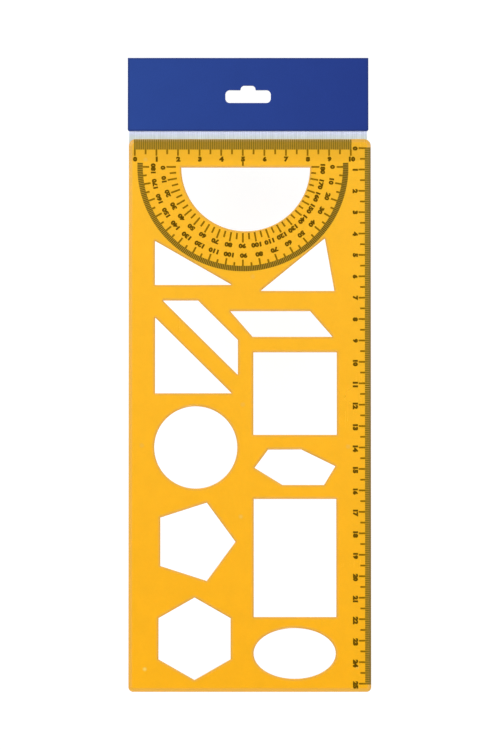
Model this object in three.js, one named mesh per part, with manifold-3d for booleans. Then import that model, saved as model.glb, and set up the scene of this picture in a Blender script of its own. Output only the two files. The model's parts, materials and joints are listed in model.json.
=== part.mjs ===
// Drafting template as it is sold: a moulded plate with thirteen drawing windows, hung from a folded header
// card by a strip of clear ribbed film that is stuck behind the plate's top edge. Millimetres. +Z points out
// of the plate's printed face, +Y towards the card, and the origin is on the resting surface, under the middle.

import * as THREE from 'three';
import { mergeVertices } from 'three/addons/utils/BufferGeometryUtils.js';
import Module from 'manifold-3d';

const wasm = await Module();
wasm.setup();

// Template plate
const PLATE_WIDTH = 112;
const PLATE_LENGTH = 258;
const PLATE_THICKNESS = 1.4;
const TOP_CORNER_RADIUS = 3.2;
const BOTTOM_CORNER_RADIUS = 2.2;
const RIM_BEVEL_WIDTH = 1.6;
const RIM_BEVEL_DROP = 0.6;

// Drawing windows: their edges, then the size of each
const WINDOW_CHAMFER = 0.5;
const WINDOW_CORNER_RADIUS = 0.2;
const PROTRACTOR_RADIUS = 29.8;
const CIRCLE_RADIUS = 19.2;
const ELLIPSE_HALF_WIDTH = 18.95;
const ELLIPSE_HALF_HEIGHT = 11.8;
const SQUARE_SIDE = 38.55;
const RECTANGLE_WIDTH = 38.1;
const RECTANGLE_HEIGHT = 55;
const PENTAGON_RADIUS = 19.2;
const HEXAGON_RADIUS = 19.2;
const SET_SQUARE_BASE = 35.8;
const SET_SQUARE_ANGLE = 30;
const HALF_SQUARE_SIDE = 35.5;
const SCALENE_BASE = 34.2;
const SCALENE_HEIGHT = 24.6;
const SCALENE_APEX = 29.8;
const TRAPEZIUM_LONG_LEG = 34.8;
const TRAPEZIUM_SHORT_LEG = 18.4;
const PARALLELOGRAM_BASE = 37;
const PARALLELOGRAM_HEIGHT = 12;
const PARALLELOGRAM_LEAN = 10.4;
const UNEVEN_HEXAGON = [[-18.7, -0.3], [-5.8, -8.3], [13.4, -8.3], [18.7, 0.5], [2.9, 8.3], [-12.4, 8.2]];

// Where the middle of each window lies: shares of the plate's width, from the left, and length, from the top
const PROTRACTOR_AT = [0.483, 0.0519];
const SET_SQUARE_AT = [0.2677, 0.2248];
const SCALENE_AT = [0.6966, 0.228];
const PARALLELOGRAM_AT = [0.6304, 0.3356];
const TRAPEZIUM_AT = [0.2955, 0.3605];
const HALF_SQUARE_AT = [0.2672, 0.3923];
const SQUARE_AT = [0.6868, 0.4616];
const CIRCLE_AT = [0.277, 0.559];
const UNEVEN_HEXAGON_AT = [0.6861, 0.5948];
const PENTAGON_AT = [0.2696, 0.7295];
const RECTANGLE_AT = [0.6863, 0.7588];
const HEXAGON_AT = [0.2723, 0.9045];
const ELLIPSE_AT = [0.6848, 0.931];

// Round marks that the mould's ejector pins leave in the plate's back
const EJECTOR_MARK_RADIUS = 1;
const EJECTOR_MARK_DEPTH = 0.12;
const EJECTOR_MARKS_AT = [
  [0.0688, 0.0376],
  [0.5125, 0.25],
  [0.4714, 0.4818],
  [0.0545, 0.5558],
  [0.9054, 0.5578],
  [0.4634, 0.6845],
  [0.067, 0.9597],
  [0.941, 0.9562],
];

// Hanger strip of film: a tail stuck behind the plate, an open span, and a lip inside the card. It is a
// little narrower than the card and shares its middle.
const STRIP_WIDTH = 110.2;
const STRIP_THICKNESS = 0.2;
const STRIP_TAIL = 10;
const STRIP_SPAN = 3.75;
const STRIP_RISE_START = 0.5;
const STRIP_RISE_LENGTH = 3;
const PLATE_CLEARANCE = 0.05;

// Header card and its hanging slot
const CARD_WIDTH = 111.5;
const CARD_HEIGHT = 34.45;
const CARD_THICKNESS = 0.35;
const CARD_OFFSET = -0.8;
const CARD_CORNER_RADIUS = 1;
const SLOT_WIDTH = 21;
const SLOT_HEIGHT = 6;
const SLOT_RISE = 13.2;
const SLOT_END_RADIUS = 2;
const PEG_NOTCH_WIDTH = 6.9;
const PEG_NOTCH_HEIGHT = 2.1;
const PEG_NOTCH_RADIUS = 1.7;
const PEG_NOTCH_ROOT_RADIUS = 0.3;
const LIP_TOP_CLEARANCE = 0.4;

// Double-sided tape: behind the plate, and on both sides of the lip inside the card
const TAPE_THICKNESS = 0.1;
const TAPE_WIDTH = 104;
const PLATE_TAPE_HEIGHT = 8;
const PLATE_TAPE_DROP = 1;
const CARD_TAPE_HEIGHT = 8;
const CARD_TAPE_RISE = 2;

// Facets: half the number of sides on a full round and on a small corner, and the overrun of a cut
const ROUND_SEGMENTS = 36;
const CORNER_SEGMENTS = 2;
const FOLD_SEGMENTS = 5;
const MARK_SIDES = 24;
const OVERRUN = 0.1;
const WELD_DISTANCE = 1e-4;

// Levels from the resting surface up: the card's two panels with the lip between, and the plate on the tail
const backTapeLevel = CARD_THICKNESS;
const lipBack = backTapeLevel + TAPE_THICKNESS;
const lipFace = lipBack + STRIP_THICKNESS;
const frontPanelBack = lipFace + TAPE_THICKNESS;
const cardFace = frontPanelBack + CARD_THICKNESS;
const foldRadius = cardFace / 2;
const plateBack = STRIP_THICKNESS + TAPE_THICKNESS + PLATE_CLEARANCE;

// Places along Y, from the plate's bottom edge to the card's fold
const totalLength = PLATE_LENGTH + STRIP_SPAN + CARD_HEIGHT;
const plateTop = PLATE_LENGTH - totalLength / 2;
const plateMiddle = plateTop - PLATE_LENGTH / 2;
const cardBottom = plateTop + STRIP_SPAN;
const foldCentre = cardBottom + CARD_HEIGHT - foldRadius;
const lipTop = foldCentre - LIP_TOP_CLEARANCE;
const slotBottom = cardBottom + SLOT_RISE;

// Outer edges across X, measured from the plate's middle
const leftEdge = Math.min(-PLATE_WIDTH / 2, CARD_OFFSET - CARD_WIDTH / 2);
const rightEdge = Math.max(PLATE_WIDTH / 2, CARD_OFFSET + CARD_WIDTH / 2);

const amberPlastic = new THREE.MeshStandardMaterial({
  color: 0xfdb421,
  roughness: 0.3,
  metalness: 0,
  transparent: true,
  opacity: 0.9,
});
const clearFilm = new THREE.MeshStandardMaterial({
  color: 0xdbe2ea,
  roughness: 0.25,
  metalness: 0,
  transparent: true,
  opacity: 0.6,
});
const blueCard = new THREE.MeshStandardMaterial({ color: 0x2b4690, roughness: 0.5, metalness: 0 });
const stickyTape = new THREE.MeshStandardMaterial({ color: 0xf2efe4, roughness: 0.7, metalness: 0 });

// A closed geometry as a solid that can be joined and cut.
function solidOf(geometry) {
  geometry.deleteAttribute('normal');
  geometry.deleteAttribute('uv');
  const merged = mergeVertices(geometry, WELD_DISTANCE);
  const vertProperties = Float32Array.from(merged.attributes.position.array);
  const triVerts = Uint32Array.from(merged.index.array);
  return new wasm.Manifold(new wasm.Mesh({ numProp: 3, vertProperties, triVerts }));
}

// A solid as a named mesh.
function meshOf(name, solid, material) {
  const { vertProperties, triVerts } = solid.getMesh();
  const geometry = new THREE.BufferGeometry();
  geometry.setAttribute('position', new THREE.BufferAttribute(vertProperties, 3));
  geometry.setIndex(new THREE.BufferAttribute(triVerts, 1));
  geometry.computeVertexNormals();
  const mesh = new THREE.Mesh(geometry, material);
  mesh.name = name;
  return mesh;
}

// A closed outline through corners given as [x, y, radius], anticlockwise. Each corner is an arc that
// touches both its sides; a corner that turns clockwise is rounded the other way.
function roundedOutline(corners) {
  const shape = new THREE.Shape();
  const points = corners.map(([x, y]) => new THREE.Vector2(x, y));
  corners.forEach(([, , radius], i) => {
    const corner = points[i];
    const before = points[(i + points.length - 1) % points.length];
    const after = points[(i + 1) % points.length];
    const way = corner.clone().sub(before).normalize();
    const nextWay = after.clone().sub(corner).normalize();
    const turn = Math.atan2(way.cross(nextWay), way.dot(nextWay));
    const side = Math.sign(turn);
    const reach = radius * Math.tan(Math.abs(turn) / 2);
    const start = corner.clone().addScaledVector(way, -reach);
    const centre = start.clone().add(new THREE.Vector2(-way.y, way.x).multiplyScalar(side * radius));
    const firstAngle = Math.atan2(start.y - centre.y, start.x - centre.x);
    if (i === 0) shape.moveTo(start.x, start.y);
    else shape.lineTo(start.x, start.y);
    shape.absarc(centre.x, centre.y, radius, firstAngle, firstAngle + turn, side < 0);
  });
  shape.closePath();
  return shape;
}

// The same with one small radius at every corner, moved so that the middle of its box is the origin.
function windowOutline(points) {
  const box = new THREE.Box2().setFromPoints(points.map(([x, y]) => new THREE.Vector2(x, y)));
  const middle = box.getCenter(new THREE.Vector2());
  return roundedOutline(points.map(([x, y]) => [x - middle.x, y - middle.y, WINDOW_CORNER_RADIUS]));
}

function regularPolygon(sides, radius, firstAngle) {
  const angles = Array.from({ length: sides }, (_, i) => firstAngle + (2 * Math.PI * i) / sides);
  return roundedOutline(angles.map((a) => [radius * Math.cos(a), radius * Math.sin(a), WINDOW_CORNER_RADIUS]));
}

function rectangle(width, height) {
  return windowOutline([[0, 0], [width, 0], [width, height], [0, height]]);
}

function halfDisc(radius) {
  return new THREE.Shape().absarc(0, 0, radius, Math.PI, 2 * Math.PI, false).closePath();
}

function ellipse(halfWidth, halfHeight) {
  return new THREE.Shape().absellipse(0, 0, halfWidth, halfHeight, 0, 2 * Math.PI, false);
}

// A straight block over a plan outline, from one level to another.
function block(outline, low, high, segments = CORNER_SEGMENTS) {
  const depth = high - low;
  const geometry = new THREE.ExtrudeGeometry(outline, { depth, bevelEnabled: false, curveSegments: segments });
  return solidOf(geometry.translate(0, 0, low));
}

// A profile drawn with Y across and Z up, carried along X to both sides of a middle.
function carriedAlongX(profile, middle, width, segments) {
  const settings = { depth: width, bevelEnabled: false, curveSegments: segments };
  const geometry = new THREE.ExtrudeGeometry(profile, settings);
  const along = new THREE.Vector3(1, 0, 0);
  const across = new THREE.Vector3(0, 1, 0);
  const up = new THREE.Vector3(0, 0, 1);
  geometry.applyMatrix4(new THREE.Matrix4().makeBasis(across, up, along));
  return solidOf(geometry.translate(middle - width / 2, 0, 0));
}

// From shares of the plate's width and length to millimetres from its middle.
function onPlate([across, down]) {
  return [(across - 0.5) * PLATE_WIDTH, (0.5 - down) * PLATE_LENGTH];
}

// The cutter of one drawing window: straight through, and flared by the chamfer at both faces.
function windowCutter([outline, at, segments]) {
  const flare = WINDOW_CHAMFER + OVERRUN;
  const geometry = new THREE.ExtrudeGeometry(outline, {
    depth: PLATE_THICKNESS - 2 * WINDOW_CHAMFER,
    bevelThickness: flare,
    bevelSize: -flare,
    bevelOffset: flare,
    bevelSegments: 1,
    curveSegments: segments,
  });
  const [x, y] = onPlate(at);
  return solidOf(geometry.translate(x, y, WINDOW_CHAMFER));
}

function ejectorMark(at) {
  const height = EJECTOR_MARK_DEPTH + OVERRUN;
  const geometry = new THREE.CylinderGeometry(EJECTOR_MARK_RADIUS, EJECTOR_MARK_RADIUS, height, MARK_SIDES);
  const [x, y] = onPlate(at);
  return solidOf(geometry.rotateX(Math.PI / 2).translate(x, y, EJECTOR_MARK_DEPTH - height / 2));
}

// The thirteen drawing windows, as outline, place and facets.
function drawingWindows() {
  const setSquareHeight = SET_SQUARE_BASE * Math.tan(THREE.MathUtils.degToRad(SET_SQUARE_ANGLE));
  const setSquare = windowOutline([[0, 0], [SET_SQUARE_BASE, 0], [0, setSquareHeight]]);
  const scalene = windowOutline([[0, 0], [SCALENE_BASE, 0], [SCALENE_APEX, SCALENE_HEIGHT]]);
  const parallelogram = windowOutline([
    [PARALLELOGRAM_LEAN, 0],
    [PARALLELOGRAM_LEAN + PARALLELOGRAM_BASE, 0],
    [PARALLELOGRAM_BASE, PARALLELOGRAM_HEIGHT],
    [0, PARALLELOGRAM_HEIGHT],
  ]);
  const trapezium = windowOutline([
    [-TRAPEZIUM_LONG_LEG, 0],
    [0, -TRAPEZIUM_LONG_LEG],
    [0, -TRAPEZIUM_SHORT_LEG],
    [-TRAPEZIUM_SHORT_LEG, 0],
  ]);
  const halfSquare = windowOutline([[0, 0], [HALF_SQUARE_SIDE, 0], [0, HALF_SQUARE_SIDE]]);
  return [
    [halfDisc(PROTRACTOR_RADIUS), PROTRACTOR_AT, ROUND_SEGMENTS],
    [setSquare, SET_SQUARE_AT, CORNER_SEGMENTS],
    [scalene, SCALENE_AT, CORNER_SEGMENTS],
    [parallelogram, PARALLELOGRAM_AT, CORNER_SEGMENTS],
    [trapezium, TRAPEZIUM_AT, CORNER_SEGMENTS],
    [halfSquare, HALF_SQUARE_AT, CORNER_SEGMENTS],
    [rectangle(SQUARE_SIDE, SQUARE_SIDE), SQUARE_AT, CORNER_SEGMENTS],
    [ellipse(CIRCLE_RADIUS, CIRCLE_RADIUS), CIRCLE_AT, ROUND_SEGMENTS],
    [windowOutline(UNEVEN_HEXAGON), UNEVEN_HEXAGON_AT, CORNER_SEGMENTS],
    [regularPolygon(5, PENTAGON_RADIUS, 0), PENTAGON_AT, CORNER_SEGMENTS],
    [rectangle(RECTANGLE_WIDTH, RECTANGLE_HEIGHT), RECTANGLE_AT, CORNER_SEGMENTS],
    [regularPolygon(6, HEXAGON_RADIUS, Math.PI / 2), HEXAGON_AT, CORNER_SEGMENTS],
    [ellipse(ELLIPSE_HALF_WIDTH, ELLIPSE_HALF_HEIGHT), ELLIPSE_AT, ROUND_SEGMENTS],
  ];
}

// The plate, back face at z = 0 and middle on the Z axis: a blank with a bevelled rim round its printed
// face, less the drawing windows and the ejector marks.
function templatePlate() {
  const halfWidth = PLATE_WIDTH / 2;
  const halfLength = PLATE_LENGTH / 2;
  const outline = roundedOutline([
    [-halfWidth, -halfLength, BOTTOM_CORNER_RADIUS],
    [halfWidth, -halfLength, BOTTOM_CORNER_RADIUS],
    [halfWidth, halfLength, TOP_CORNER_RADIUS],
    [-halfWidth, halfLength, TOP_CORNER_RADIUS],
  ]);
  const blank = solidOf(new THREE.ExtrudeGeometry(outline, {
    depth: PLATE_THICKNESS - RIM_BEVEL_DROP,
    bevelThickness: RIM_BEVEL_DROP,
    bevelSize: RIM_BEVEL_WIDTH,
    bevelOffset: -RIM_BEVEL_WIDTH,
    bevelSegments: 1,
    curveSegments: 2 * CORNER_SEGMENTS,
  }));
  const underside = block(rectangle(PLATE_WIDTH, PLATE_LENGTH), -PLATE_THICKNESS, 0);
  const cutters = [underside, ...drawingWindows().map(windowCutter), ...EJECTOR_MARKS_AT.map(ejectorMark)];
  return cutters.reduce((plate, cutter) => plate.subtract(cutter), blank);
}

// The punch of the hanging slot: a wide slot with a notch in its upper edge for the peg.
function slotPunch() {
  const halfWidth = SLOT_WIDTH / 2;
  const halfNotch = PEG_NOTCH_WIDTH / 2;
  const slotTop = slotBottom + SLOT_HEIGHT;
  const notchTop = slotTop + PEG_NOTCH_HEIGHT;
  const outline = roundedOutline([
    [CARD_OFFSET - halfWidth, slotBottom, SLOT_END_RADIUS],
    [CARD_OFFSET + halfWidth, slotBottom, SLOT_END_RADIUS],
    [CARD_OFFSET + halfWidth, slotTop, SLOT_END_RADIUS],
    [CARD_OFFSET + halfNotch, slotTop, PEG_NOTCH_ROOT_RADIUS],
    [CARD_OFFSET + halfNotch, notchTop, PEG_NOTCH_RADIUS],
    [CARD_OFFSET - halfNotch, notchTop, PEG_NOTCH_RADIUS],
    [CARD_OFFSET - halfNotch, slotTop, PEG_NOTCH_ROOT_RADIUS],
    [CARD_OFFSET - halfWidth, slotTop, SLOT_END_RADIUS],
  ]);
  return block(outline, -OVERRUN, cardFace + OVERRUN, 2 * CORNER_SEGMENTS);
}

// The card: a long U, folded round at the top, with its lower corners rounded and the slot punched through.
function headerCard() {
  const innerRadius = foldRadius - CARD_THICKNESS;
  const profile = new THREE.Shape();
  profile.moveTo(cardBottom, 0);
  profile.lineTo(foldCentre, 0);
  profile.absarc(foldCentre, foldRadius, foldRadius, -Math.PI / 2, Math.PI / 2, false);
  profile.lineTo(cardBottom, cardFace);
  profile.lineTo(cardBottom, frontPanelBack);
  profile.lineTo(foldCentre, frontPanelBack);
  profile.absarc(foldCentre, foldRadius, innerRadius, Math.PI / 2, -Math.PI / 2, true);
  profile.lineTo(cardBottom, backTapeLevel);
  profile.closePath();
  const halfWidth = CARD_WIDTH / 2;
  const aboveFold = cardBottom + CARD_HEIGHT + CARD_CORNER_RADIUS + OVERRUN;
  const trim = block(roundedOutline([
    [CARD_OFFSET - halfWidth, cardBottom, CARD_CORNER_RADIUS],
    [CARD_OFFSET + halfWidth, cardBottom, CARD_CORNER_RADIUS],
    [CARD_OFFSET + halfWidth, aboveFold, CARD_CORNER_RADIUS],
    [CARD_OFFSET - halfWidth, aboveFold, CARD_CORNER_RADIUS],
  ]), -OVERRUN, cardFace + OVERRUN, 2 * CORNER_SEGMENTS);
  const folded = carriedAlongX(profile, CARD_OFFSET, CARD_WIDTH + 2 * OVERRUN, FOLD_SEGMENTS);
  return folded.intersect(trim).subtract(slotPunch());
}

// The hanger strip: flat behind the plate, rising over the open span, and flat again inside the card.
function hangerStrip() {
  const tailEnd = plateTop - STRIP_TAIL;
  const riseStart = plateTop + STRIP_RISE_START;
  const riseEnd = riseStart + STRIP_RISE_LENGTH;
  const profile = new THREE.Shape([
    new THREE.Vector2(tailEnd, 0),
    new THREE.Vector2(riseStart, 0),
    new THREE.Vector2(riseEnd, lipBack),
    new THREE.Vector2(lipTop, lipBack),
    new THREE.Vector2(lipTop, lipFace),
    new THREE.Vector2(riseEnd, lipFace),
    new THREE.Vector2(riseStart, STRIP_THICKNESS),
    new THREE.Vector2(tailEnd, STRIP_THICKNESS),
  ]);
  return carriedAlongX(profile, CARD_OFFSET, STRIP_WIDTH, CORNER_SEGMENTS).subtract(slotPunch());
}

// A strip of tape with its lower edge and back at the given place and level.
function tapeStrip(name, lowerEdge, height, level) {
  const strip = new THREE.Mesh(new THREE.BoxGeometry(TAPE_WIDTH, height, TAPE_THICKNESS), stickyTape);
  strip.name = name;
  strip.position.set(CARD_OFFSET, lowerEdge + height / 2, level + TAPE_THICKNESS / 2);
  return strip;
}

const template = meshOf('template_plate', templatePlate(), amberPlastic);
template.position.set(0, plateMiddle, plateBack);

const hanger = new THREE.Group();
const plateTapeBottom = plateTop - PLATE_TAPE_DROP - PLATE_TAPE_HEIGHT;
hanger.add(meshOf('hanger_strip', hangerStrip(), clearFilm));
hanger.add(tapeStrip('strip_tape', plateTapeBottom, PLATE_TAPE_HEIGHT, STRIP_THICKNESS));

const header = new THREE.Group();
const cardTapeBottom = cardBottom + CARD_TAPE_RISE;
header.add(meshOf('header_card', headerCard(), blueCard));
header.add(tapeStrip('header_back_tape', cardTapeBottom, CARD_TAPE_HEIGHT, backTapeLevel));
header.add(tapeStrip('header_front_tape', cardTapeBottom, CARD_TAPE_HEIGHT, lipFace));

const hangingTemplate = new THREE.Group();
hangingTemplate.add(template, hanger, header);
hangingTemplate.position.x = -(leftEdge + rightEdge) / 2;

export default hangingTemplate;
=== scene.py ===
# Looks of the drafting template on its hanging card: printed scales, ribbed film and every surface's finish.
import json
import math

import bmesh
import bpy
import numpy as np
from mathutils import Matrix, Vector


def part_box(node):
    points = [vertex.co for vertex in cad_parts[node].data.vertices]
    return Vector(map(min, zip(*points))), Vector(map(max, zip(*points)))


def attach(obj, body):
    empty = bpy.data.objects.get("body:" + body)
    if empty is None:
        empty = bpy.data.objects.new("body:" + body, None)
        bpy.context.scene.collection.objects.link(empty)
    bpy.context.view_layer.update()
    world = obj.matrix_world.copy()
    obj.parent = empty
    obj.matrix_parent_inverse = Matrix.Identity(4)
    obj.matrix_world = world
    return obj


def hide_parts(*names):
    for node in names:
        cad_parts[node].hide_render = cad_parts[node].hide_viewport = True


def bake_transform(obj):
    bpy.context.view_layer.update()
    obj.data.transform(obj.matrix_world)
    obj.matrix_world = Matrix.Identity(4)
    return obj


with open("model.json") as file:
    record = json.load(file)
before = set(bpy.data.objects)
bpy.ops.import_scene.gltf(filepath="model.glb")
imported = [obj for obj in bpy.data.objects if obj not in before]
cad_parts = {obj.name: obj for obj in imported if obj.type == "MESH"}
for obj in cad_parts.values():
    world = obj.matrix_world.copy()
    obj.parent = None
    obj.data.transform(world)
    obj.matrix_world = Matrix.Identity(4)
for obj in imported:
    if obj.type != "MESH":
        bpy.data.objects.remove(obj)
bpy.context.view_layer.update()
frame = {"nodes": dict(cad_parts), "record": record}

MM = 0.001
CM = 10 * MM
PLATE_LOW, PLATE_HIGH = (np.array(corner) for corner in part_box("template_plate"))
STRIP_LOW, STRIP_HIGH = (np.array(corner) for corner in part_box("hanger_strip"))
CARD_LOW, CARD_HIGH = (np.array(corner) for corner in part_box("header_card"))

# The plate's bevelled rim, and its moulding marks: their places in millimetres from its left and
# top, how pale they are, and the distances from their middles over which they fade
RIM_BEVEL_WIDTH = 1.6 * MM
RIM_BEVEL_DROP = 0.6 * MM
MARKS_AT = ((7.7, 9.7), (57.4, 64.5), (52.8, 124.3), (6.1, 143.4), (101.4, 143.9), (51.9, 176.6),
            (7.5, 247.6), (105.4, 246.7))
MARK_STRENGTHS = (0.25, 0.12, 0.12, 0.12, 0.15, 0.35, 0.9, 0.15)
MARK_FADE = (1.2 * MM, 0.3 * MM)

# Printing ink: how far it stands on the plate and how deep it bites in, and its digits' weight and width
INK_HEIGHT = 0.03 * MM
INK_BITE = 0.01 * MM
GLYPH_CURVE_STEPS = 2
GLYPH_WELD = 1e-5
SCALE_DIGITS = {"weight": 0.09, "widen": 1.17}
DIAL_DIGITS = {"weight": 0.075, "widen": 1.25}

# Upper and side scale: the zero's place, how far ticks reach in from the edge, and the digits' middle line
TOP_EDGE_GAP = 0.2 * MM
SIDE_EDGE_GAP = 0.1 * MM
LONG_TICK_WIDTH = 0.82 * MM
TOP_ZERO_ACROSS = 2.75 * MM
TOP_SCALE_CM = 10
TOP_FINE_WIDTH = 0.5 * MM
TOP_TICKS = {"millimetre": 5.0 * MM, "half": 7.2 * MM, "centimetre": 7.9 * MM}
TOP_DIGITS_DOWN = 9.5 * MM
SIDE_ZERO_DOWN = 4.35 * MM
SIDE_SCALE_CM = 25
SIDE_FINE_WIDTH = 0.56 * MM
SIDE_TICKS = {"millimetre": 2.75 * MM, "half": 4.95 * MM, "centimetre": 5.65 * MM}
SIDE_DIGITS_INWARD = 7.2 * MM
SCALE_DIGIT_HEIGHT = 2.45 * MM
DIGIT_SHIFT = {1: 0.15 * MM, 2: 0.6 * MM}
SCALE_OVERRUN = 0.4 * MM

# Printed protractor: its middle, the radii of its ticks and digits, and how far digits lie off their ticks
DIAL_ACROSS = 52.8 * MM
DIAL_DOWN = 13.15 * MM
DIAL_OVERRUN_DEG = 2
DEGREE_TICK_WIDTH = 0.5 * MM
OUTER_EDGE = 48.85 * MM
OUTER_TICKS = {"degree": 46.35 * MM, "five": 44.75 * MM, "ten": 43.4 * MM}
OUTER_DIGITS = 41.5 * MM
OUTER_SHIFT_DEG = {1: 0.0, 2: 0.5, 3: 0.9}
INNER_EDGE = 31.0 * MM
INNER_TICKS = {"five": 34.0 * MM, "ten": 35.4 * MM}
INNER_DIGITS = 37.0 * MM
INNER_SHIFT_DEG = 0.4
INNER_HUNDREDS_LEAN = 0.036
INNER_END_SHIFT_DEG = {0: 1.6, 170: 1.1, 180: -0.6}
DIAL_DIGIT_HEIGHT = 2.35 * MM
DIAL_WINDOW_ACROSS = 54.1 * MM
DIAL_WINDOW_DOWN = 13.4 * MM
DIAL_WINDOW_RADIUS = 29.8 * MM
DIAL_WINDOW_RIM = 0.6 * MM
CENTRE_LINE_TOP = 10.8 * MM
CENTRE_LINE_END = 12.7 * MM

# Painted shadow of the fine ticks in the plastic round them: how strong it is, and over what blur
TOP_TICK_SHADOW = 0.52
SIDE_TICK_SHADOW = 0.565
RING_TICK_SHADOW_LEFT = 0.43
RING_TICK_SHADOW_RIGHT = 0.65
TICK_SHADOW_BLUR = 0.12 * MM

# Ribbed film of the hanger strip
FILM_THICKNESS = 0.2 * MM
RIB_PITCH = 1.0 * MM
RIB_DEPTH = 0.07 * MM
RIB_STEPS = 6
STRIP_ROWS = {"tail": 4, "open": 14, "lip": 18}
RISE_START = 0.5 * MM
RISE_LENGTH = 3.0 * MM
SLOT_MARGIN = 1.2 * MM

# Values between which most of a noise lies
NOISE_SPAN = (0.3, 0.7)

# Traces of handling: the noise that makes smudges, and the turn, stretch and places of the hairlines
SMUDGE_SPAN = (0.45, 0.75)
HAIRLINE_TURN = 0.6
HAIRLINE_STRETCH = (900, 14, 14)
HAIRLINE_PLACES = (0.5, 0.62)

# Amber plastic: colours in linear light, the rim's painted sheen and the walls' painted shade, slopes at
# which rim and walls begin, and their strengths
AMBER_LOW_END = (1.0, 0.5, 0.004, 1)
AMBER_TOP_END = (1.0, 0.54, 0.022, 1)
RIM_PAINTED_SHEEN = (0.92, 0.53, 0.09, 1)
RIM_SLOPE = (0.98, 0.95)
RIM_SHEEN_SHARE = 0.45
WALL_PAINTED_SHADE = (0.72, 0.41, 0.06, 1)
WALL_SLOPE = (0.9, 0.75)
WALL_SHADE_SHARE = 0.35
AMBER_ROUGHNESS = 0.22
AMBER_SMUDGE = 0.06
AMBER_HAIRLINE = 0.012
MARK_PALE = (1.0, 0.72, 0.13, 1)

# Painted shade in the plastic beside a wall, for light scattered at its cut edges, lighter as painted light
# along the lower end's bevel: its width, its rays, the open shares over which it sets in, its tones
EDGE_WIDTH = 1.35 * MM
EDGE_RAYS = 8
EDGE_OPEN_SHARES = (1.0, 0.86)
EDGE_SHARE = 0.7
EDGE_PAINTED_SHADE = (0.83, 0.46, 0.072, 1)
EDGE_PAINTED_SHADE_LOW_END = (0.92, 0.55, 0.1, 1)

# Painted shadow of the fine ticks: its tone, and its tones towards the plate's right edge, deeper there as
# painted shadow, and towards its top edge, paler there as painted light on the top bevel
TICK_SHADOW_TONE = (0.18, 0.12, 0.02, 1)
TICK_SHADOW_TONE_AT_SIDE = (0.09, 0.07, 0.022, 1)
TICK_SHADOW_LIT_AT_TOP = (0.38, 0.38, 0.27, 1)
PLATE_SHADOW_ADDED_AT_SIDE = 0.15
SIDE_FADE = (1.4 * MM, 0.3 * MM)
TOP_FADE = 1.3 * MM

# Inks, each from a dark to a light tone, in linear light
INK_TONES = {
    "digit": ((0.09, 0.049, 0.0006, 1), (0.16, 0.083, 0.0012, 1)),
    "tick": ((0.19, 0.1, 0.001, 1), (0.29, 0.15, 0.002, 1)),
    "fine": ((0.16, 0.109, 0.006, 1), (0.22, 0.149, 0.011, 1)),
    "ring": ((0.095, 0.063, 0.003, 1), (0.14, 0.092, 0.006, 1)),
}
INK_COVER_SPAN = (0.7, 1.3)
INK_ROUGHNESS = (0.4, 0.6)

# Film: its tones at the plate and at the card, partly its own tint and partly painted reflection of the
# light and of the blue card, its cover, its streaks, its ribs' painted light and shade, and its roughness
FILM_TINT_AND_SHEEN_AT_PLATE = (0.64, 0.72, 0.69, 1)
FILM_TINT_AND_SHEEN_AT_CARD = (0.72, 0.77, 1.0, 1)
FILM_COVER = 0.75
STREAK_STRETCH = (1400, 60, 60)
STREAK_TONES = (0.9, 1.08)
RIB_LIGHT_AND_SHADE = 0.05
FILM_ROUGHNESS = 0.2
FILM_SMUDGE = 0.12

# Card: its print from left to right, the dark line round it, the worn crease at its fold and its cut edges
CARD_LEFT = (0.0173, 0.0515, 0.251, 1)
CARD_RIGHT = (0.0115, 0.034, 0.208, 1)
CARD_BORDER = (0.012, 0.03, 0.14, 1)
BORDER_FADE = (1.1 * MM, 0.5 * MM)
BORDER_SHARE = 0.6
CARD_WORN = (0.25, 0.3, 0.5, 1)
CREASE_FADE = (0.5 * MM, 0.1 * MM)
WEAR_SHARES = (0.12, 0.4)
CARD_CUT = (0.62, 0.64, 0.7, 1)
CUT_SLOPE = 0.2
FOLD_DEPTH = 1.2 * MM
CARD_ROUGHNESS = (0.42, 0.52)
CARD_SMUDGE = 0.08

# Tape
TAPE_WHITE = (0.86, 0.84, 0.75, 1)
TAPE_ROUGHNESS = (0.55, 0.75)

# White floor that the part hangs over: how much light it bounces, and how its shadow and its white show
FLOOR_HALF = 4.0
FLOOR_DISTANCE = 45 * MM
FLOOR_BOUNCE = (0.8, 0.8, 0.8, 1)
FLOOR_SHADOW = (0.16, 0.16, 0.16, 1)
FLOOR_GLOW = 0.9

# Lamps, each with its place in metres, its power in watts and its size in metres, and the white surround
WHITE = (1, 1, 1, 1)
LAMPS = {
    "key": ((-1.5, 1.4, 1.9), 59.0, 1.8),
    "fill": ((1.9, 0.2, 1.7), 27.0, 1.8),
    "low": ((0.3, -2.2, 0.42), 14.0, 0.6),
}
SURROUND_LIGHT = 0.4
SURROUND_SEEN = 1.0

# Photograph's framing: its two scales, and the place in the middle of the image
IMAGE_HEIGHT_PX = 750
ACROSS_PX_PER_MM = 2.163
DOWN_PX_PER_MM = 2.1409
IMAGE_MIDDLE = (0.365 * MM, -0.6 * MM)
SENSOR_HEIGHT_MM = 36
LENS_MM = 900


def face_height(x, y):
    """Height of the plate's face: level, and falling in a straight slope over the rim's width to
    the edge."""
    inward = np.minimum.reduce([x - PLATE_LOW[0], PLATE_HIGH[0] - x, y - PLATE_LOW[1], PLATE_HIGH[1] - y])
    return PLATE_HIGH[2] - RIM_BEVEL_DROP * (1 - np.clip(inward / RIM_BEVEL_WIDTH, 0, 1))


def new_piece(name, vertices, faces, material, body, slot):
    """A mesh object in the row's frame that rides on a body and takes the given material as its finish. The
    slot is not used.
    """
    mesh = bpy.data.meshes.new(name)
    mesh.from_pydata(vertices.tolist(), [], faces.tolist())
    mesh.validate()
    mesh.materials.append(material)
    piece = bpy.data.objects.new(name, mesh)
    bpy.context.scene.collection.objects.link(piece)
    if body:
        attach(piece, body)
    return piece


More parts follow.
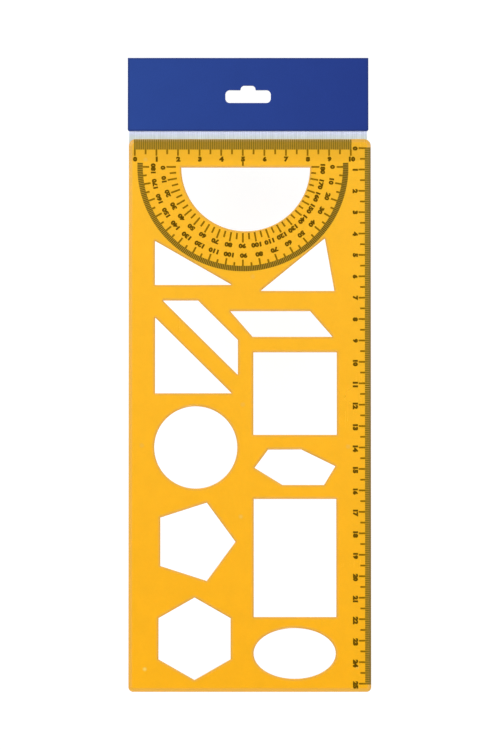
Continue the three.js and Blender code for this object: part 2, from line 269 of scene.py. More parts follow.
def ink_bars(starts, ends, turns, widths):
    """Bars of ink from start to end points, each a box whose long edges bend with the plate's face at a
    middle station, turns metres from the start. Corners of a section go round: left low, right low, right
    high, left high."""
    along = ends - starts
    along /= np.linalg.norm(along, axis=1, keepdims=True)
    sideways = np.stack([-along[:, 1], along[:, 0]], axis=1) * widths[:, None] / 2
    stations = np.stack([starts, starts + along * turns[:, None], ends], axis=1)
    heights = face_height(stations[..., 0], stations[..., 1])
    left = stations + sideways[:, None]
    right = stations - sideways[:, None]
    low = heights[..., None] - INK_BITE
    high = heights[..., None] + INK_HEIGHT
    pairs = ((left, low), (right, low), (right, high), (left, high))
    section = np.stack([np.concatenate(pair, axis=-1) for pair in pairs], axis=2)
    vertices = section.reshape(-1, 3)
    corner = np.arange(4)
    following = (corner + 1) % 4
    sides = []
    for base, ahead in ((0, 4), (4, 8)):
        sides.append(np.stack([base + corner, ahead + corner, ahead + following, base + following], axis=1))
    caps = np.array([[0, 1, 2, 3], [11, 10, 9, 8]])
    one_bar = np.concatenate([*sides, caps])
    first_corners = np.arange(0, len(vertices), one_bar.max() + 1)
    faces = one_bar[None] + first_corners[:, None, None]
    return vertices, faces.reshape(-1, 4)


def glyph_shape(text, weight, widen):
    """A number as a closed solid, one unit tall and deep, with its middle at the origin. Returns
    its corners and its triangles."""
    curve = bpy.data.curves.new("number", "FONT")
    curve.body = text
    curve.extrude = 0.5
    curve.bevel_depth = weight
    curve.bevel_resolution = 0
    curve.resolution_u = GLYPH_CURVE_STEPS
    holder = bpy.data.objects.new("number", curve)
    bpy.context.scene.collection.objects.link(holder)
    bpy.context.view_layer.update()
    shape = bpy.data.meshes.new_from_object(holder.evaluated_get(bpy.context.evaluated_depsgraph_get()))
    solid = bmesh.new()
    solid.from_mesh(shape)
    bmesh.ops.remove_doubles(solid, verts=solid.verts, dist=GLYPH_WELD)
    bmesh.ops.triangulate(solid, faces=solid.faces)
    bmesh.ops.recalc_face_normals(solid, faces=solid.faces)
    solid.verts.index_update()
    corners = np.array([v.co[:] for v in solid.verts])
    triangles = np.array([[v.index for v in f.verts] for f in solid.faces])
    solid.free()
    bpy.data.meshes.remove(shape)
    bpy.data.objects.remove(holder)
    bpy.data.curves.remove(curve)
    low, high = corners.min(axis=0), corners.max(axis=0)
    corners = (corners - (low + high) / 2) / (high[1] - low[1])
    corners[:, 0] *= widen
    corners[:, 2] /= np.ptp(corners[:, 2])
    return corners, triangles


def ink_numbers(labels, style, height):
    """Numbers of ink on the plate's level face. A label is its text, middle and turn from upright:
    corners are scaled, turned about Z, moved to the middle and set from the ink's bite to its
    height."""
    shapes = {text: glyph_shape(text, **style) for text in sorted({label[0] for label in labels})}
    vertices, faces, count = [], [], 0
    for text, (x, y), turn in labels:
        corners, triangles = shapes[text]
        cos, sin = math.cos(turn) * height, math.sin(turn) * height
        vertices.append(np.stack([
            x + cos * corners[:, 0] - sin * corners[:, 1],
            y + sin * corners[:, 0] + cos * corners[:, 1],
            PLATE_HIGH[2] + np.where(corners[:, 2] > 0, INK_HEIGHT, -INK_BITE),
        ], axis=1))
        faces.append(triangles + count)
        count += len(corners)
    return np.concatenate(vertices), np.concatenate(faces)


def ink_piece(name, shape, ink):
    """A printed piece, which rides on the plate."""
    new_piece(name, *shape, ink, "template", "printing_ink")


def edge_scales(inks):
    """Both centimetre scales: a band of millimetre ticks from the plate's edge inward over the
    bevelled rim, longer ticks on from the band at every half and whole centimetre, and the
    centimetres' digits."""
    top, edge = PLATE_HIGH[1], PLATE_HIGH[0]
    top_steps = np.arange(TOP_SCALE_CM * 10 + 1)
    side_steps = np.arange(SIDE_SCALE_CM * 10 + 1)

    def on_top(steps, inward):
        return np.stack([PLATE_LOW[0] + TOP_ZERO_ACROSS + steps * MM, top - inward + 0 * steps], axis=1)

    def on_side(steps, inward):
        return np.stack([edge - inward + 0 * steps, top - SIDE_ZERO_DOWN - steps * MM], axis=1)

    def reach(steps, lengths):
        return np.where(steps % 10 == 0, lengths["centimetre"], lengths["half"])

    starts = np.concatenate([on_top(top_steps, TOP_EDGE_GAP), on_side(side_steps, SIDE_EDGE_GAP)])
    counts = [len(top_steps), len(side_steps)]
    top_band = on_top(top_steps, TOP_TICKS["millimetre"])
    side_band = on_side(side_steps, SIDE_TICKS["millimetre"])
    turns = RIM_BEVEL_WIDTH - np.repeat([TOP_EDGE_GAP, SIDE_EDGE_GAP], counts)
    widths = np.repeat([TOP_FINE_WIDTH, SIDE_FINE_WIDTH], counts)
    fine = ink_bars(starts, np.concatenate([top_band, side_band]), turns, widths)
    ink_piece("millimetre_ticks", fine, inks["fine"])

    top_halves, side_halves = top_steps[::5], side_steps[::5]
    top_ends = on_top(top_halves, reach(top_halves, TOP_TICKS))
    side_ends = on_side(side_halves, reach(side_halves, SIDE_TICKS))
    starts = np.concatenate([top_band[::5], side_band[::5]])
    ends = np.concatenate([top_ends, side_ends])
    halves = np.linalg.norm(ends - starts, axis=1) / 2
    long = ink_bars(starts, ends, halves, np.full(len(starts), LONG_TICK_WIDTH))
    ink_piece("centimetre_ticks", long, inks["tick"])

    labels = []
    for cm in range(TOP_SCALE_CM + 1):
        x = PLATE_LOW[0] + TOP_ZERO_ACROSS + cm * CM + DIGIT_SHIFT[len(str(cm))]
        labels.append((str(cm), (x, top - TOP_DIGITS_DOWN), 0.0))
    for cm in range(SIDE_SCALE_CM + 1):
        y = top - SIDE_ZERO_DOWN - cm * CM - DIGIT_SHIFT[len(str(cm))]
        labels.append((str(cm), (edge - SIDE_DIGITS_INWARD, y), -math.pi / 2))
    ink_piece("edge_scale_digits", ink_numbers(labels, SCALE_DIGITS, SCALE_DIGIT_HEIGHT), inks["digit"])


def printed_protractor(inks):
    """The protractor: degree ticks on a half ring, longer ticks on from it, ticks round the window,
    two rows of digits that stand outwards, and the line at the middle. Angles run from the right
    end, below the base line. A tick at the window starts where its ray leaves the circle of the
    window and its rim. That is the shift between the two middles, measured along the ray, plus the
    root of this: the radius squared, less the shift squared, plus the measured shift squared."""
    middle = np.array([PLATE_LOW[0] + DIAL_ACROSS, PLATE_HIGH[1] - DIAL_DOWN])

    def at(radius, degrees):
        angles = np.radians(degrees)
        outward = np.stack([np.cos(angles), -np.sin(angles)], axis=-1)
        return middle + np.asarray(radius)[..., None] * outward

    def bars(starts, ends, width):
        halves = np.linalg.norm(ends - starts, axis=1) / 2
        return ink_bars(starts, ends, halves, np.full(len(starts), width))

    def reach(degrees, radii):
        return np.where(degrees % 10 == 0, radii["ten"], radii["five"])

    ring = np.arange(-DIAL_OVERRUN_DEG, 180 + DIAL_OVERRUN_DEG + 1)
    ring_starts = at(np.full(len(ring), OUTER_EDGE), ring)
    ring_ends = at(np.full(len(ring), OUTER_TICKS["degree"]), ring)
    ink_piece("degree_ticks", bars(ring_starts, ring_ends, DEGREE_TICK_WIDTH), inks["ring"])

    spokes = np.arange(0, 181, 5)
    outer_starts = at(np.full(len(spokes), OUTER_TICKS["degree"]), spokes)
    outer_ends = at(reach(spokes, OUTER_TICKS), spokes)
    shift = np.array([DIAL_WINDOW_ACROSS - DIAL_ACROSS, DIAL_DOWN - DIAL_WINDOW_DOWN])
    along_shift = (at(np.ones(len(spokes)), spokes) - middle) @ shift
    clear = DIAL_WINDOW_RADIUS + DIAL_WINDOW_RIM
    window_edge = along_shift + np.sqrt(clear ** 2 - shift @ shift + along_shift ** 2)
    inner_starts = at(np.maximum(INNER_EDGE, window_edge), spokes)
    inner_ends = at(reach(spokes, INNER_TICKS), spokes)
    line_starts = np.array([[middle[0], PLATE_HIGH[1] - CENTRE_LINE_TOP]])
    line_ends = np.array([[middle[0], PLATE_HIGH[1] - CENTRE_LINE_END]])
    starts = np.concatenate([outer_starts, inner_starts, line_starts])
    ends = np.concatenate([outer_ends, inner_ends, line_ends])
    ink_piece("protractor_ticks", bars(starts, ends, LONG_TICK_WIDTH), inks["tick"])

    labels = []
    for degrees in range(0, 181, 10):
        outer, inner = str(degrees), str(180 - degrees)
        lean = INNER_HUNDREDS_LEAN * (90 - degrees) if len(inner) == 3 else INNER_SHIFT_DEG
        lean = INNER_END_SHIFT_DEG.get(degrees, lean)
        for text, radius, angle in ((outer, OUTER_DIGITS, degrees - OUTER_SHIFT_DEG[len(outer)]),
                                    (inner, INNER_DIGITS, degrees + lean)):
            labels.append((text, at(radius, angle), -math.radians(angle) - math.pi / 2))
    ink_piece("protractor_digits", ink_numbers(labels, DIAL_DIGITS, DIAL_DIGIT_HEIGHT), inks["digit"])


def slab(front, back, keep):
    """A closed sheet from two grids of corners, front and back, with the cells that keep marks:
    faces on both sides, and a wall wherever a kept cell meets a missing one or the grid's end."""
    index = np.arange(front.shape[0] * front.shape[1]).reshape(front.shape[:2])
    behind = index.size
    a, b, c, d = index[:-1, :-1], index[:-1, 1:], index[1:, 1:], index[1:, :-1]
    ring = np.pad(keep, 1)
    open_left = keep & ~ring[1:-1, :-2]
    open_right = keep & ~ring[1:-1, 2:]
    open_below = keep & ~ring[:-2, 1:-1]
    open_above = keep & ~ring[2:, 1:-1]
    faces = [np.stack([a, b, c, d], axis=-1)[keep], np.stack([d, c, b, a], axis=-1)[keep] + behind]
    walls = ((a, d, open_left), (c, b, open_right), (b, a, open_below), (d, c, open_above))
    for first, second, mask in walls:
        faces.append(np.stack([first, second, second + behind, first + behind], axis=-1)[mask])
    faces = np.concatenate(faces)
    used, faces = np.unique(faces, return_inverse=True)
    corners = np.concatenate([front.reshape(-1, 3), back.reshape(-1, 3)])[used]
    return corners, faces.reshape(-1, 4)


def hanger_film(material):
    """The hanger strip: a film whose middle level rises by a smooth step from the tail behind the
    plate to the lip inside the card, and whose front is drawn in between ribs by a cosine of the
    place across."""
    plate_top, card_bottom = PLATE_HIGH[1], CARD_LOW[1]
    columns = int(round((STRIP_HIGH[0] - STRIP_LOW[0]) / RIB_PITCH)) * RIB_STEPS
    across = np.linspace(STRIP_LOW[0], STRIP_HIGH[0], columns + 1)
    tail = np.linspace(STRIP_LOW[1], plate_top, STRIP_ROWS["tail"], endpoint=False)
    open_film = np.linspace(plate_top, card_bottom, STRIP_ROWS["open"], endpoint=False)
    lip = np.linspace(card_bottom, STRIP_HIGH[1], STRIP_ROWS["lip"])
    along = np.concatenate([tail, open_film, lip])
    x, y = np.meshgrid(across, along)
    share = np.clip((y - plate_top - RISE_START) / RISE_LENGTH, 0, 1)
    climb = share * share * (3 - 2 * share)
    tail_level = STRIP_LOW[2] + FILM_THICKNESS / 2
    lip_level = STRIP_HIGH[2] - FILM_THICKNESS / 2
    level = tail_level + (lip_level - tail_level) * climb
    drawn_in = RIB_DEPTH * (0.5 - 0.5 * np.cos(2 * np.pi * (x - STRIP_LOW[0]) / RIB_PITCH))
    front = np.stack([x, y, level + FILM_THICKNESS / 2 - drawn_in], axis=-1)
    back = np.stack([x, y, level - FILM_THICKNESS / 2], axis=-1)
    keep = np.ones((len(along) - 1, len(across) - 1), dtype=bool)
    for opening in frame["record"]["physics"]["openings"]:
        if opening["name"].startswith("hanging_slot"):
            low, high = np.array(opening["box_m"])
            over = (x[1:, 1:] > low[0] - SLOT_MARGIN) & (x[:-1, :-1] < high[0] + SLOT_MARGIN)
            beside = (y[1:, 1:] > low[1] - SLOT_MARGIN) & (y[:-1, :-1] < high[1] + SLOT_MARGIN)
            keep &= ~(over & beside)
    film = new_piece("ribbed_strip", *slab(front, back, keep), material, None, "clear_film")
    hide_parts("hanger_strip")
    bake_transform(film)


# Materials


def put(tree, kind, sockets=None, **settings):
    """A shader node with its settings; a socket value that is another node's output is linked."""
    node = tree.nodes.new(kind)
    for key, value in settings.items():
        setattr(node, key, value)
    for key, value in (sockets or {}).items():
        if isinstance(value, bpy.types.NodeSocket):
            tree.links.new(value, node.inputs[key])
        else:
            node.inputs[key].default_value = value
    return node


def calc(tree, operation, first, second=0.0, clamp=False):
    """The result of a sum on two values."""
    sockets = {0: first, 1: second}
    return put(tree, "ShaderNodeMath", sockets, operation=operation, use_clamp=clamp).outputs[0]


def ramp(tree, value, from_low, from_high, to_low=0.0, to_high=1.0, smooth=False):
    """A value moved from one range to another and held at the range's ends."""
    sockets = {
        "Value": value, "From Min": from_low, "From Max": from_high, "To Min": to_low, "To Max": to_high,
    }
    kind = "SMOOTHSTEP" if smooth else "LINEAR"
    return put(tree, "ShaderNodeMapRange", sockets, interpolation_type=kind).outputs["Result"]


def tint(tree, factor, first, second, blend_type="MIX"):
    """A mix of two colours, the second one by the factor."""
    sockets = {0: factor, 6: first, 7: second}
    return put(tree, "ShaderNodeMix", sockets, data_type="RGBA", blend_type=blend_type).outputs[2]


def place(tree):
    """The surface point's own X, Y and Z, as three outputs, and the whole vector."""
    point = put(tree, "ShaderNodeTexCoord").outputs["Object"]
    return (*put(tree, "ShaderNodeSeparateXYZ", {0: point}).outputs, point)


def new_group(name, inputs, outputs):
    """An empty shader node group with named float inputs and outputs, and its two end nodes."""
    group = bpy.data.node_groups.new(name, "ShaderNodeTree")
    for label, value in inputs.items():
        socket = group.interface.new_socket(label, in_out="INPUT", socket_type="NodeSocketFloat")
        socket.default_value = value
    for label in outputs:
        group.interface.new_socket(label, in_out="OUTPUT", socket_type="NodeSocketFloat")
    return group, put(group, "NodeGroupInput").outputs, put(group, "NodeGroupOutput").inputs


def mottle_group():
    """Cloudy tone: noise with patches of the given size, spread evenly about 1 by the given contrast."""
    group, given, result = new_group("mottle", {"Patch Size": 0.01, "Contrast": 0.03}, ["Tone"])
    *_, point = place(group)
    scale = calc(group, "DIVIDE", 1.0, given["Patch Size"])
    sockets = {"Vector": point, "Scale": scale, "Detail": 3.0, "Roughness": 0.6}
    noise = put(group, "ShaderNodeTexNoise", sockets)
    centred = calc(group, "SUBTRACT", noise.outputs[0], 0.5)
    spread = calc(group, "MULTIPLY", centred, calc(group, "MULTIPLY", given["Contrast"], 2.0))
    group.links.new(calc(group, "ADD", spread, 1.0), result["Tone"])
    return group


def handling_group():
    """Traces of handling: soft smudges from wide noise, and hairlines where a noise that is drawn out along
    one slanting direction crosses its middle value."""
    group, given, result = new_group("handling", {"Smudge Size": 0.03, "Hairline Width": 0.012},
                                     ["Smudge", "Hairline"])
    *_, point = place(group)
    scale = calc(group, "DIVIDE", 1.0, given["Smudge Size"])
    cloud = put(group, "ShaderNodeTexNoise", {"Vector": point, "Scale": scale, "Detail": 4.0})
    group.links.new(ramp(group, cloud.outputs[0], *SMUDGE_SPAN, smooth=True), result["Smudge"])
    sockets = {"Vector": point, "Rotation": (0, 0, HAIRLINE_TURN), "Scale": HAIRLINE_STRETCH}
    turned = put(group, "ShaderNodeMapping", sockets)
    streaks = put(group, "ShaderNodeTexNoise", {"Vector": turned.outputs[0], "Scale": 1.0, "Detail": 1.0})
    off_middle = calc(group, "ABSOLUTE", calc(group, "SUBTRACT", streaks.outputs[0], 0.5))
    lines = ramp(group, off_middle, given["Hairline Width"], 0.0)
    sparse = ramp(group, cloud.outputs[0], *HAIRLINE_PLACES)
    group.links.new(calc(group, "MULTIPLY", lines, sparse), result["Hairline"])
    return group


def grain_group():
    """Fine even grain of a surface, as a height from 0 to 1, with bumps of the given size."""
    group, given, result = new_group("fine_grain", {"Grain Size": 0.0004}, ["Height"])
    *_, point = place(group)
    scale = calc(group, "DIVIDE", 1.0, given["Grain Size"])
    noise = put(group, "ShaderNodeTexNoise", {"Vector": point, "Scale": scale, "Detail": 2.0})
    group.links.new(noise.outputs[0], result["Height"])
    return group


MOTTLE = mottle_group()
HANDLING = handling_group()
GRAIN = grain_group()


def use(tree, group, values):
    """Outputs of a shared group whose inputs have the given values."""
    return put(tree, "ShaderNodeGroup", values, node_tree=group).outputs


def slope(tree):
    """How level the surface is: 1 on faces that lie flat, 0 on upright walls."""
    normal = put(tree, "ShaderNodeNewGeometry").outputs["True Normal"]
    own = put(tree, "ShaderNodeVectorTransform", {0: normal}, vector_type="NORMAL", convert_from="WORLD",
              convert_to="OBJECT").outputs[0]
    return calc(tree, "ABSOLUTE", put(tree, "ShaderNodeSeparateXYZ", {0: own}).outputs["Z"])


def new_finish(name):
    """An empty material, its node tree and its surface shader."""
    material = bpy.data.materials.new(name)
    material.use_nodes = True
    return material, material.node_tree, material.node_tree.nodes["Principled BSDF"]


def toned(tree, colour, tone):
    """A colour whose brightness follows a tone."""
    grey = put(tree, "ShaderNodeCombineColor", {0: tone, 1: tone, 2: tone}).outputs[0]
    return tint(tree, 1.0, colour, grey, "MULTIPLY")


def bumped(tree, height, strength, distance):
    """A normal that follows a height."""
    sockets = {"Height": height, "Strength": strength, "Distance": distance}
    return put(tree, "ShaderNodeBump", sockets).outputs[0]


def flat_distance(tree, point, middle):
    """How far a surface point is from a middle when both are seen from above."""
    flat = put(tree, "ShaderNodeVectorMath", {0: point, 1: (1, 1, 0)}, operation="MULTIPLY").outputs[0]
    return put(tree, "ShaderNodeVectorMath", {0: flat, 1: middle}, operation="DISTANCE").outputs["Value"]


def between(tree, value, low, high):
    """1 between two bounds and 0 outside, with slightly blurred ends."""
    above = ramp(tree, value, low - TICK_SHADOW_BLUR, low + TICK_SHADOW_BLUR)
    below = ramp(tree, value, high + TICK_SHADOW_BLUR, high - TICK_SHADOW_BLUR)
    return calc(tree, "MULTIPLY", above, below)


def inked_haze(tree):
    """How strongly the painted shadow of the ticks darkens the plastic: over the bands of millimetre ticks
    along two edges and the degree ring."""
    x, y, _, point = place(tree)
    left, top, edge = (float(v) for v in (PLATE_LOW[0], PLATE_HIGH[1], PLATE_HIGH[0]))
    first = left + TOP_ZERO_ACROSS
    last = first + TOP_SCALE_CM * CM
    top_band = calc(tree, "MULTIPLY", between(tree, y, top - TOP_TICKS["millimetre"], top),
                    between(tree, x, first - SCALE_OVERRUN, last + SCALE_OVERRUN))
    start = top - SIDE_ZERO_DOWN
    end = start - SIDE_SCALE_CM * CM
    side_band = calc(tree, "MULTIPLY", between(tree, x, edge - SIDE_TICKS["millimetre"], edge),
                     between(tree, y, end - SCALE_OVERRUN, start + SCALE_OVERRUN))
    middle = (left + DIAL_ACROSS, top - DIAL_DOWN, 0)
    radius = flat_distance(tree, point, middle)
    overrun = OUTER_EDGE * math.sin(math.radians(DIAL_OVERRUN_DEG))
    ring = calc(tree, "MULTIPLY", between(tree, radius, OUTER_TICKS["degree"], OUTER_EDGE),
                between(tree, y, middle[1] - 2 * OUTER_EDGE, middle[1] + overrun))
    edges = calc(tree, "MAXIMUM", calc(tree, "MULTIPLY", top_band, TOP_TICK_SHADOW),
                 calc(tree, "MULTIPLY", side_band, SIDE_TICK_SHADOW))
    cover = ramp(tree, x, middle[0] - OUTER_EDGE, middle[0] + OUTER_EDGE, RING_TICK_SHADOW_LEFT, RING_TICK_SHADOW_RIGHT)
    return calc(tree, "MAXIMUM", edges, calc(tree, "MULTIPLY", ring, cover))


def amber_plastic():
    """Clear amber moulding: cloudy amber, deeper towards the lower end, with a painted tan sheen on its
    bevelled rim, painted brown shade on its walls and duller painted shade beside them, painted shadow of
    the fine ticks round them, and paler where ejector pins marked it. How near a wall is comes from the
    share of short rays into the plastic that meet nothing."""
    material, tree, shader = new_finish("amber_plastic")
    x, y, _, point = place(tree)
    low, top, edge = (float(v) for v in (PLATE_LOW[1], PLATE_HIGH[1], PLATE_HIGH[0]))
    clouds = use(tree, MOTTLE, {"Patch Size": 9 * MM, "Contrast": 0.05})["Tone"]
    specks = use(tree, MOTTLE, {"Patch Size": 1.1 * MM, "Contrast": 0.03})["Tone"]
    colour = tint(tree, ramp(tree, y, low, top), AMBER_LOW_END, AMBER_TOP_END)
    colour = toned(tree, toned(tree, colour, clouds), specks)
    level = slope(tree)
    # Painted sheen on the bevelled rim
    colour = tint(tree, ramp(tree, level, *RIM_SLOPE, 0.0, RIM_SHEEN_SHARE), colour, RIM_PAINTED_SHEEN)
    # Painted shade on the upright walls of the windows and rim
    colour = tint(tree, ramp(tree, level, *WALL_SLOPE, 0.0, WALL_SHADE_SHARE), colour, WALL_PAINTED_SHADE)

    # Painted shade beside the walls, lighter towards the lower end as painted light on its bevel
    open_share = put(tree, "ShaderNodeAmbientOcclusion", {"Distance": EDGE_WIDTH}, samples=EDGE_RAYS,
                     inside=True, only_local=True).outputs["AO"]
    near_wall = ramp(tree, open_share, *EDGE_OPEN_SHARES, 0.0, EDGE_SHARE)
    on_face = ramp(tree, level, *reversed(WALL_SLOPE))
    edge_shade_tone = tint(tree, ramp(tree, y, low + RIM_BEVEL_WIDTH, low), EDGE_PAINTED_SHADE, EDGE_PAINTED_SHADE_LOW_END)
    colour = tint(tree, calc(tree, "MULTIPLY", near_wall, on_face), colour, edge_shade_tone)

    # Painted shadow of the fine ticks, deeper at the right edge as painted shadow there, paler at the top
    # edge as painted light on its bevel
    at_edge = ramp(tree, x, edge - SIDE_FADE[0], edge - SIDE_FADE[1])
    tick_shadow_tone = tint(tree, at_edge, TICK_SHADOW_TONE, TICK_SHADOW_TONE_AT_SIDE)
    tick_shadow_tone = tint(tree, ramp(tree, y, top - TOP_FADE, top), tick_shadow_tone, TICK_SHADOW_LIT_AT_TOP)
    added = calc(tree, "MULTIPLY", at_edge, PLATE_SHADOW_ADDED_AT_SIDE)
    tick_shadow = calc(tree, "ADD", inked_haze(tree), added, clamp=True)
    colour = tint(tree, tick_shadow, colour, tick_shadow_tone)

    marks = 0.0
    for (across, down), strength in zip(MARKS_AT, MARK_STRENGTHS):
        middle = (PLATE_LOW[0] + across * MM, PLATE_HIGH[1] - down * MM, 0)
        gap = flat_distance(tree, point, middle)
        disc = ramp(tree, gap, *MARK_FADE, 0.0, strength, smooth=True)
        marks = calc(tree, "ADD", disc, marks)
    colour = tint(tree, marks, colour, MARK_PALE)
    tree.links.new(colour, shader.inputs["Base Color"])

    traces = use(tree, HANDLING, {"Smudge Size": 35 * MM, "Hairline Width": 0.006})
    dull = calc(tree, "ADD", calc(tree, "MULTIPLY", traces["Smudge"], AMBER_SMUDGE),
                calc(tree, "MULTIPLY", traces["Hairline"], AMBER_HAIRLINE))
    tree.links.new(calc(tree, "ADD", dull, AMBER_ROUGHNESS), shader.inputs["Roughness"])
    waves = use(tree, MOTTLE, {"Patch Size": 14 * MM, "Contrast": 0.5})["Tone"]
    tree.links.new(bumped(tree, waves, strength=0.15, distance=0.2 * MM), shader.inputs["Normal"])
    shader.inputs["IOR"].default_value = 1.49
    shader.inputs["Specular IOR Level"].default_value = 0.25
    shader.inputs["Transmission Weight"].default_value = 0.3
    return material


def printing_ink(name, dark, light):
    """Screen ink, unevenly laid between a dark and a light tone."""
    material, tree, shader = new_finish(name)
    cover = use(tree, MOTTLE, {"Patch Size": 0.7 * MM, "Contrast": 0.6})["Tone"]
    colour = tint(tree, ramp(tree, cover, *INK_COVER_SPAN), dark, light)
    tree.links.new(colour, shader.inputs["Base Color"])
    grain = use(tree, GRAIN, {"Grain Size": 0.15 * MM})["Height"]
    tree.links.new(ramp(tree, grain, *NOISE_SPAN, *INK_ROUGHNESS), shader.inputs["Roughness"])
    tree.links.new(bumped(tree, grain, strength=0.2, distance=0.01 * MM), shader.inputs["Normal"])
    shader.inputs["Specular IOR Level"].default_value = 0.04
    return material


def ribbed_film():
    """Clear film that looks whitish: lavender under the card, greener and greyer towards the plate, partly
    its own tint and partly painted reflection of the light on its rise and of the blue card, streaked along
    its ribs, and with painted light and shade on its ribs after the cosine that shapes them."""
    material, tree, shader = new_finish("ribbed_film")
    x, y, _, point = place(tree)
    # Tint from plate to card, partly painted reflection of the light and of the blue card
    height = ramp(tree, y, float(PLATE_HIGH[1]), float(CARD_LOW[1]), smooth=True)
    colour = tint(tree, height, FILM_TINT_AND_SHEEN_AT_PLATE, FILM_TINT_AND_SHEEN_AT_CARD)
    drawn = put(tree, "ShaderNodeMapping", {"Vector": point, "Scale": STREAK_STRETCH}).outputs[0]
    streaks = put(tree, "ShaderNodeTexNoise", {"Vector": drawn, "Scale": 1.0, "Detail": 2.0}).outputs[0]
    across = calc(tree, "SUBTRACT", x, float(STRIP_LOW[0]))
    # Painted light and shade on the ribs, after the cosine that shapes them
    wave = calc(tree, "COSINE", calc(tree, "MULTIPLY", across, 2 * math.pi / RIB_PITCH))
    streak_tone = ramp(tree, streaks, *NOISE_SPAN, *STREAK_TONES)
    tone = calc(tree, "ADD", streak_tone, calc(tree, "MULTIPLY", wave, RIB_LIGHT_AND_SHADE))
    tree.links.new(toned(tree, colour, tone), shader.inputs["Base Color"])
    traces = use(tree, HANDLING, {"Smudge Size": 12 * MM, "Hairline Width": 0.02})
    rough = calc(tree, "ADD", calc(tree, "MULTIPLY", traces["Smudge"], FILM_SMUDGE), FILM_ROUGHNESS)
    tree.links.new(rough, shader.inputs["Roughness"])
    shader.inputs["Alpha"].default_value = FILM_COVER
    return material


def blue_card():
    """Printed card: blue with a slight change of tone along it, a darker line round it, board
    grain, a worn crease at the fold and pale cut edges. The line follows the least distance from
    the card's four sides."""
    material, tree, shader = new_finish("blue_card")
    x, y, *_ = place(tree)
    left, low, right, top = (float(v) for v in (*CARD_LOW[:2], *CARD_HIGH[:2]))
    colour = tint(tree, ramp(tree, x, left, right), CARD_LEFT, CARD_RIGHT)
    colour = toned(tree, colour, use(tree, MOTTLE, {"Patch Size": 16 * MM, "Contrast": 0.06})["Tone"])
    colour = toned(tree, colour, use(tree, MOTTLE, {"Patch Size": 0.5 * MM, "Contrast": 0.12})["Tone"])
    inward = calc(tree, "MINIMUM", calc(tree, "SUBTRACT", x, left), calc(tree, "SUBTRACT", right, x))
    inward = calc(tree, "MINIMUM", inward, calc(tree, "SUBTRACT", y, low))
    inward = calc(tree, "MINIMUM", inward, calc(tree, "SUBTRACT", top, y))
    border = ramp(tree, inward, *BORDER_FADE, 0.0, BORDER_SHARE, smooth=True)
    colour = tint(tree, border, colour, CARD_BORDER)

    traces = use(tree, HANDLING, {"Smudge Size": 22 * MM, "Hairline Width": 0.02})
    crease = ramp(tree, y, top - CREASE_FADE[0], top - CREASE_FADE[1], smooth=True)
    wear = calc(tree, "MULTIPLY", crease, ramp(tree, traces["Smudge"], 0.0, 1.0, *WEAR_SHARES))
    colour = tint(tree, wear, colour, CARD_WORN)
    cut = calc(tree, "MULTIPLY", calc(tree, "LESS_THAN", slope(tree), CUT_SLOPE),
               calc(tree, "LESS_THAN", y, top - FOLD_DEPTH))
    colour = tint(tree, cut, colour, CARD_CUT)
    tree.links.new(colour, shader.inputs["Base Color"])

    grain = use(tree, GRAIN, {"Grain Size": 0.22 * MM})["Height"]
    rough = calc(tree, "ADD", ramp(tree, grain, *NOISE_SPAN, *CARD_ROUGHNESS),
                 calc(tree, "MULTIPLY", traces["Smudge"], CARD_SMUDGE))
    tree.links.new(rough, shader.inputs["Roughness"])
    tree.links.new(bumped(tree, grain, strength=0.25, distance=0.02 * MM), shader.inputs["Normal"])
    shader.inputs["Specular IOR Level"].default_value = 0.25
    return material


def sticky_tape():
    """Off-white double-sided tape with a slightly cloudy glue layer."""
    material, tree, shader = new_finish("sticky_tape")
    tone = use(tree, MOTTLE, {"Patch Size": 3 * MM, "Contrast": 0.12})["Tone"]
    tree.links.new(toned(tree, TAPE_WHITE, tone), shader.inputs["Base Color"])
    grain = use(tree, GRAIN, {"Grain Size": 0.3 * MM})["Height"]
    tree.links.new(ramp(tree, grain, *NOISE_SPAN, *TAPE_ROUGHNESS), shader.inputs["Roughness"])
    tree.links.new(bumped(tree, grain, strength=0.2, distance=0.01 * MM), shader.inputs["Normal"])
    return material


def dress(node, material):
    """Gives a CAD node its finish."""
    for entry in frame["nodes"][node].material_slots:
        entry.material = material


# Stage, light and camera


def shown_ray(tree):
    """1 for rays that show the floor itself: from the camera, in gloss and through clear things."""
    rays = put(tree, "ShaderNodeLightPath").outputs
    some = calc(tree, "MAXIMUM", rays["Is Camera Ray"], rays["Is Glossy Ray"])
    return calc(tree, "MAXIMUM", some, rays["Is Transmission Ray"])


def pale_floor():
    """A white floor behind the hanging part, far enough down for the card to fold back. It shows as
    white, with a light shadow, bounces light as plain white paint does, and isn't there for a
    camera below it."""
    signs = ((-1, -1), (1, -1), (1, 1), (-1, 1))
    corners = [(x * FLOOR_HALF, y * FLOOR_HALF, -FLOOR_DISTANCE) for x, y in signs]
    mesh = bpy.data.meshes.new("floor")
    mesh.from_pydata(corners, [], [[0, 1, 2, 3]])
    material = bpy.data.materials.new("floor")
    material.use_nodes = True
    tree = material.node_tree
    tree.nodes.clear()
    bounce = put(tree, "ShaderNodeBsdfDiffuse", {"Color": FLOOR_BOUNCE}).outputs[0]
    shadow = put(tree, "ShaderNodeBsdfDiffuse", {"Color": FLOOR_SHADOW}).outputs[0]
    glow = put(tree, "ShaderNodeEmission", {"Color": WHITE, "Strength": FLOOR_GLOW}).outputs[0]
    shown = put(tree, "ShaderNodeAddShader", {0: shadow, 1: glow}).outputs[0]
    mixed = put(tree, "ShaderNodeMixShader", {0: shown_ray(tree), 1: bounce, 2: shown}).outputs[0]
    clear = put(tree, "ShaderNodeBsdfTransparent").outputs[0]
    from_below = calc(tree, "MULTIPLY", put(tree, "ShaderNodeLightPath").outputs["Is Camera Ray"],
                      put(tree, "ShaderNodeNewGeometry").outputs["Backfacing"])
    sided = put(tree, "ShaderNodeMixShader", {0: from_below, 1: mixed, 2: clear}).outputs[0]
    put(tree, "ShaderNodeOutputMaterial", {"Surface": sided})
    mesh.materials.append(material)
    floor = bpy.data.objects.new("floor", mesh)
    bpy.context.scene.collection.objects.link(floor)


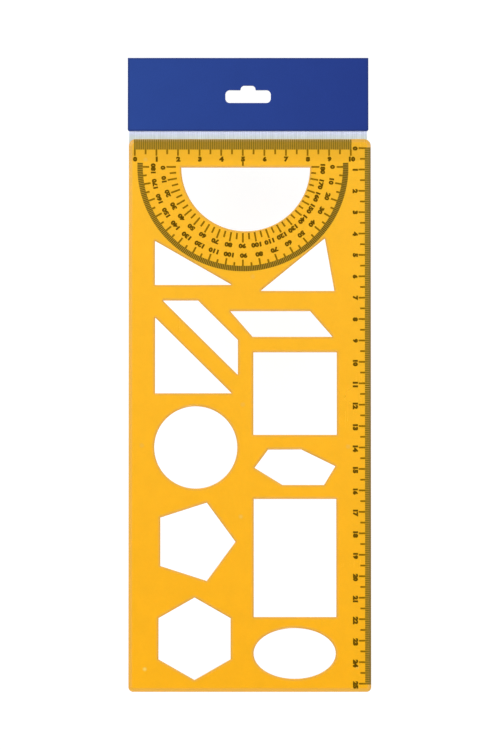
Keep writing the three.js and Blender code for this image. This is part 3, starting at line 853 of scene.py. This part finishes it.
def studio_light():
    """A soft lamp from the upper left, a weaker one from the right, and a low one from the lower
    end, which lights the windows' upper walls. None of them shows or is mirrored in gloss. The
    surround is white, and lights less than it shows."""
    for name, (spot, power, size) in LAMPS.items():
        light = bpy.data.lights.new(name, "AREA")
        light.energy = power
        light.size = size
        lamp = bpy.data.objects.new(name, light)
        lamp.location = spot
        lamp.rotation_euler = (-lamp.location).to_track_quat("-Z", "Y").to_euler()
        lamp.visible_glossy = False
        lamp.visible_camera = False
        bpy.context.scene.collection.objects.link(lamp)
    world = bpy.data.worlds.new("surround")
    bpy.context.scene.world = world
    world.use_nodes = True
    tree = world.node_tree
    tree.nodes.clear()
    rays = put(tree, "ShaderNodeLightPath").outputs
    seen = calc(tree, "MAXIMUM", rays["Is Camera Ray"], rays["Is Transmission Ray"])
    strength = ramp(tree, seen, 0.0, 1.0, SURROUND_LIGHT, SURROUND_SEEN)
    around = put(tree, "ShaderNodeBackground", {"Color": WHITE, "Strength": strength}).outputs[0]
    put(tree, "ShaderNodeOutputWorld", {"Surface": around})


def distant_camera():
    """Looks down from far off, leaning towards the lower end until the length is as short as the
    photograph's: by the angle whose cosine is the scale along the length over the scale across.
    Its distance makes the image's height in millimetres fill the sensor's height."""
    lean = math.acos(DOWN_PX_PER_MM / ACROSS_PX_PER_MM)
    distance = IMAGE_HEIGHT_PX / ACROSS_PX_PER_MM * MM * LENS_MM / SENSOR_HEIGHT_MM
    data = bpy.data.cameras.new("camera")
    data.sensor_fit = "VERTICAL"
    data.sensor_height = SENSOR_HEIGHT_MM
    data.lens = LENS_MM
    camera = bpy.data.objects.new("camera", data)
    across, along = IMAGE_MIDDLE
    camera.location = (across, along - distance * math.sin(lean), PLATE_HIGH[2] + distance * math.cos(lean))
    camera.rotation_euler = (lean, 0, 0)
    bpy.context.scene.collection.objects.link(camera)
    bpy.context.scene.camera = camera
    bpy.context.scene.view_settings.view_transform = "Standard"


distant_camera()
studio_light()
pale_floor()

inks = {part: printing_ink(part + "_ink", *tones) for part, tones in INK_TONES.items()}
tape = sticky_tape()
dress("template_plate", amber_plastic())
dress("header_card", blue_card())
for tape_node in ("strip_tape", "header_front_tape", "header_back_tape"):
    dress(tape_node, tape)
edge_scales(inks)
printed_protractor(inks)
hanger_film(ribbed_film())
